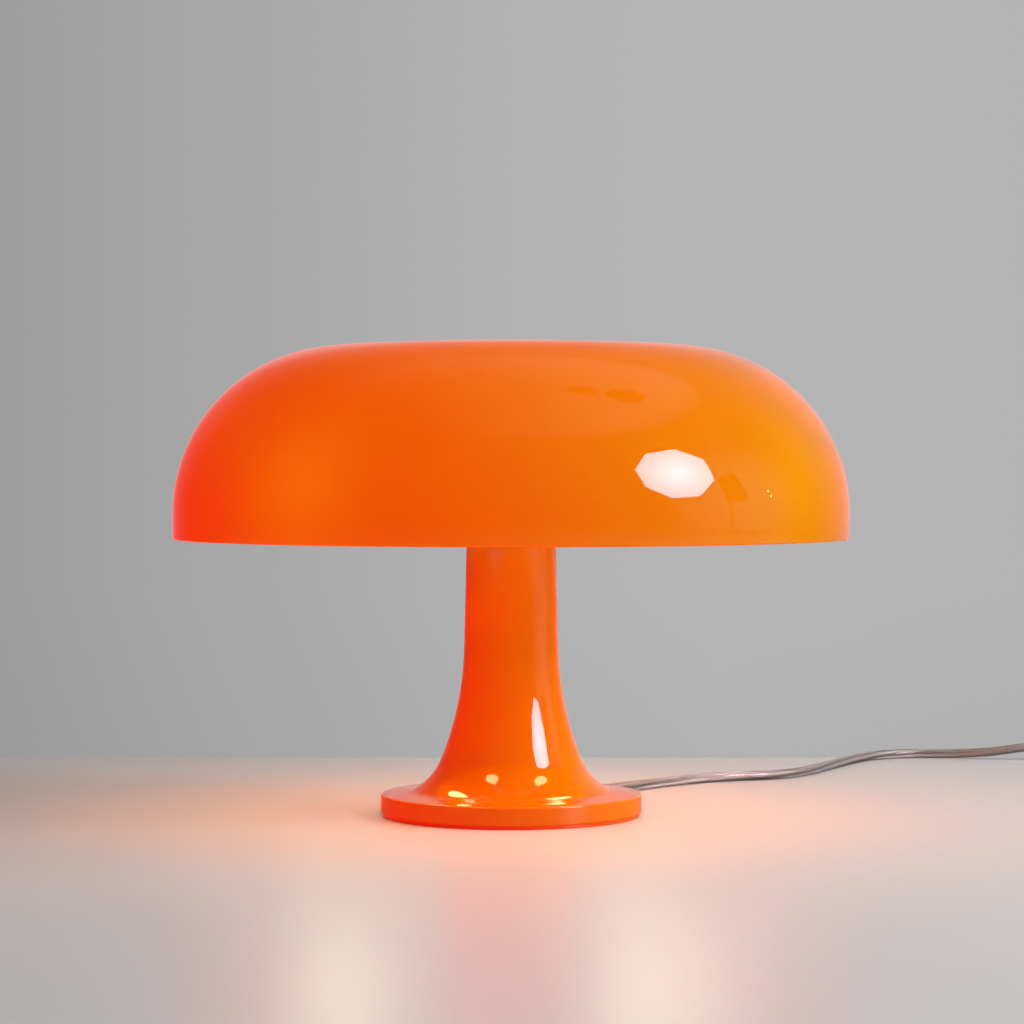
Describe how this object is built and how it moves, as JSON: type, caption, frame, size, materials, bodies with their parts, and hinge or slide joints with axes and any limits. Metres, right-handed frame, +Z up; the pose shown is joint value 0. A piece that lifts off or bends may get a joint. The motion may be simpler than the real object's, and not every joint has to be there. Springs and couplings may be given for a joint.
{
  "type": "table lamp",
  "caption": "Mushroom table lamp: a wide moulded dome shade resting on a flared one-piece stem and base, with globe bulbs on a hub under the shade and a mains cord with a rocker switch.",
  "frame": {"origin": "middle of the underside, on the table, on the axis of the stem and shade", "axes": "+Z up along the stem; the side seen in front in the picture faces -Y, and the cord leaves at the back right"},
  "size_m": [0.5826, 0.4408, 0.2245],
  "materials": {
    "orange_plastic": "glossy moulded plastic, translucent, coloured right through",
    "glass": "frosted glass",
    "brass": "bright brass",
    "zinc_steel": "zinc-plated steel",
    "cover_steel": "black painted sheet",
    "ballast": "raw cast iron",
    "rubber": "matt dark red-brown rubber",
    "holder_plastic": "matt white phenolic",
    "insulator": "glazed white ceramic-like insulator",
    "black_insulator": "black insulation",
    "cord_pvc": "clear flexible sheath over tinned strands",
    "fitting_plastic": "glossy ivory plastic",
    "rocker_plastic": "glossy ivory plastic",
    "nickel": "nickel-plated brass",
    "tie": "soft white tie"
  },
  "bodies": {
    "lamp": {"ballast_ring": "ballast", "base_cover": "cover_steel", "base_screws": "zinc_steel", "centre_contacts": "brass", "clamp_screws": "zinc_steel", "cluster_hub": "zinc_steel", "coil_tie": "tie", "cord_clamp": "zinc_steel", "cord_coil": "cord_pvc", "cord_gland": "cord_pvc", "cord_lead": "cord_pvc", "cord_plug_lead": "cord_pvc", "cord_tail": "cord_pvc", "foot_ring": "rubber", "holder_body_1": "holder_plastic", "holder_body_2": "holder_plastic", "holder_body_3": "holder_plastic", "holder_body_4": "holder_plastic", "holder_insert_1": "insulator", "holder_insert_2": "insulator", "holder_insert_3": "insulator", "holder_insert_4": "insulator", "holder_nuts": "zinc_steel", "holder_tubes": "zinc_steel", "holder_wires": "black_insulator", "hub_cover": "zinc_steel", "inner_cord": "cord_pvc", "plug_body": "fitting_plastic", "plug_pins": "nickel", "screw_shell_1": "brass", "screw_shell_2": "brass", "screw_shell_3": "brass", "screw_shell_4": "brass", "seat_pad": "rubber", "seat_tube": "zinc_steel", "shade_seat": "holder_plastic", "stem_and_base": "orange_plastic", "stem_tube": "zinc_steel", "stem_washer": "zinc_steel", "switch_base": "fitting_plastic", "switch_screws": "zinc_steel", "switch_top": "fitting_plastic", "terminal_block": "insulator", "tube_nuts": "zinc_steel"},
    "shade": {"shade": "orange_plastic"},
    "rocker": {"switch_rocker": "rocker_plastic"},
    "bulb_1_contact": {"bulb_tip_1": "zinc_steel"},
    "bulb_1": {"bulb_cap_1": "brass", "bulb_glass_1": "glass"},
    "bulb_2_contact": {"bulb_tip_2": "zinc_steel"},
    "bulb_2": {"bulb_cap_2": "brass", "bulb_glass_2": "glass"},
    "bulb_3_contact": {"bulb_tip_3": "zinc_steel"},
    "bulb_3": {"bulb_cap_3": "brass", "bulb_glass_3": "glass"},
    "bulb_4_contact": {"bulb_tip_4": "zinc_steel"},
    "bulb_4": {"bulb_cap_4": "brass", "bulb_glass_4": "glass"}
  },
  "joints": [
    {"name": "shade_lift", "type": "slide", "parent": "lamp", "child": "shade", "axis": [0, 0, 1], "range_m": [0, 0.15]},
    {"name": "bulb_1_travel", "type": "slide", "parent": "lamp", "child": "bulb_1_contact", "axis": [0.5736, 0.8192, 0], "range_m": [0, 0.0142]},
    {"name": "bulb_1_turn", "type": "hinge", "parent": "bulb_1_contact", "child": "bulb_1", "pos_m": [0.03442, 0.04915, 0.156], "axis": [0.5736, 0.8192, 0], "range_deg": [0, 1800]},
    {"name": "bulb_2_travel", "type": "slide", "parent": "lamp", "child": "bulb_2_contact", "axis": [-0.8192, 0.5736, 0], "range_m": [0, 0.0142]},
    {"name": "bulb_2_turn", "type": "hinge", "parent": "bulb_2_contact", "child": "bulb_2", "pos_m": [-0.04915, 0.03442, 0.156], "axis": [-0.8192, 0.5736, 0], "range_deg": [0, 1800]},
    {"name": "bulb_3_travel", "type": "slide", "parent": "lamp", "child": "bulb_3_contact", "axis": [-0.5736, -0.8192, 0], "range_m": [0, 0.0142]},
    {"name": "bulb_3_turn", "type": "hinge", "parent": "bulb_3_contact", "child": "bulb_3", "pos_m": [-0.03442, -0.04915, 0.156], "axis": [-0.5736, -0.8192, 0], "range_deg": [0, 1800]},
    {"name": "bulb_4_travel", "type": "slide", "parent": "lamp", "child": "bulb_4_contact", "axis": [0.8192, -0.5736, 0], "range_m": [0, 0.0142]},
    {"name": "bulb_4_turn", "type": "hinge", "parent": "bulb_4_contact", "child": "bulb_4", "pos_m": [0.04915, -0.03442, 0.156], "axis": [0.8192, -0.5736, 0], "range_deg": [0, 1800]},
    {"name": "switch_rock", "type": "hinge", "parent": "lamp", "child": "rocker", "pos_m": [0.345, 0.268, 0.0126], "axis": [0, -1, 0], "range_deg": [0, 16]}
  ],
  "couplings": [
    {"joint": "bulb_1_travel", "follows": "bulb_1_turn", "m_per_rad": 0.00044882},
    {"joint": "bulb_2_travel", "follows": "bulb_2_turn", "m_per_rad": 0.00044882},
    {"joint": "bulb_3_travel", "follows": "bulb_3_turn", "m_per_rad": 0.00044882},
    {"joint": "bulb_4_travel", "follows": "bulb_4_turn", "m_per_rad": 0.00044882}
  ]
}
